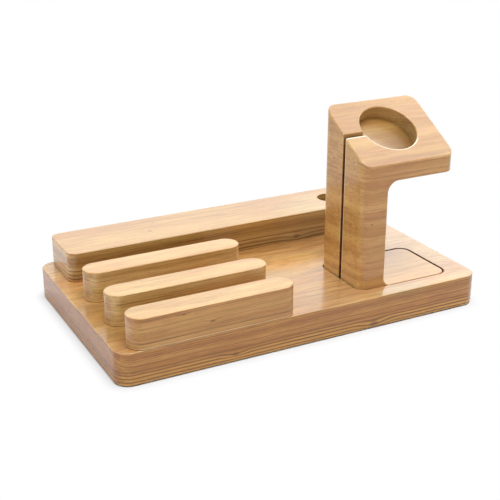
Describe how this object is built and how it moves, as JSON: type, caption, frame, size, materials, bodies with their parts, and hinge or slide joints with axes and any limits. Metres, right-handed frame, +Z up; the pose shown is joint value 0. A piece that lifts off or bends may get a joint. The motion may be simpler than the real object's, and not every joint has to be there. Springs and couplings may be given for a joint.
{
  "type": "charging station organizer",
  "caption": "Wooden desk stand with parallel slots for phones and a tablet, a pen hole, and a lift-out watch stand whose sloping head has a round charger recess and a cable slot.",
  "frame": {"origin": "centre of the board, at the level that its foot pads stand on", "axes": "+X along the board towards the watch stand, +Y from the front edge to the rear bar, +Z up"},
  "size_m": [0.185, 0.11, 0.0957],
  "materials": {
    "board_wood": "satin clear lacquer over straight horizontal grain",
    "bar_wood": "satin clear lacquer over straight horizontal grain",
    "stand_wood": "satin clear lacquer over straight horizontal grain",
    "screw_steel": "zinc plated",
    "pad_rubber": "matte"
  },
  "bodies": {
    "base": {"base_board": "board_wood", "divider_front": "bar_wood", "divider_middle": "bar_wood", "divider_rear": "bar_wood", "rear_bar": "bar_wood", "bar_screws": "screw_steel", "foot_pad_front_left": "pad_rubber", "foot_pad_front_right": "pad_rubber", "foot_pad_rear_left": "pad_rubber", "foot_pad_rear_right": "pad_rubber"},
    "stand": {"watch_stand": "stand_wood"}
  },
  "joints": [
    {"name": "stand_lift", "type": "slide", "parent": "base", "child": "stand", "axis": [0, 0, 1], "range_m": [0, 0.04]}
  ]
}
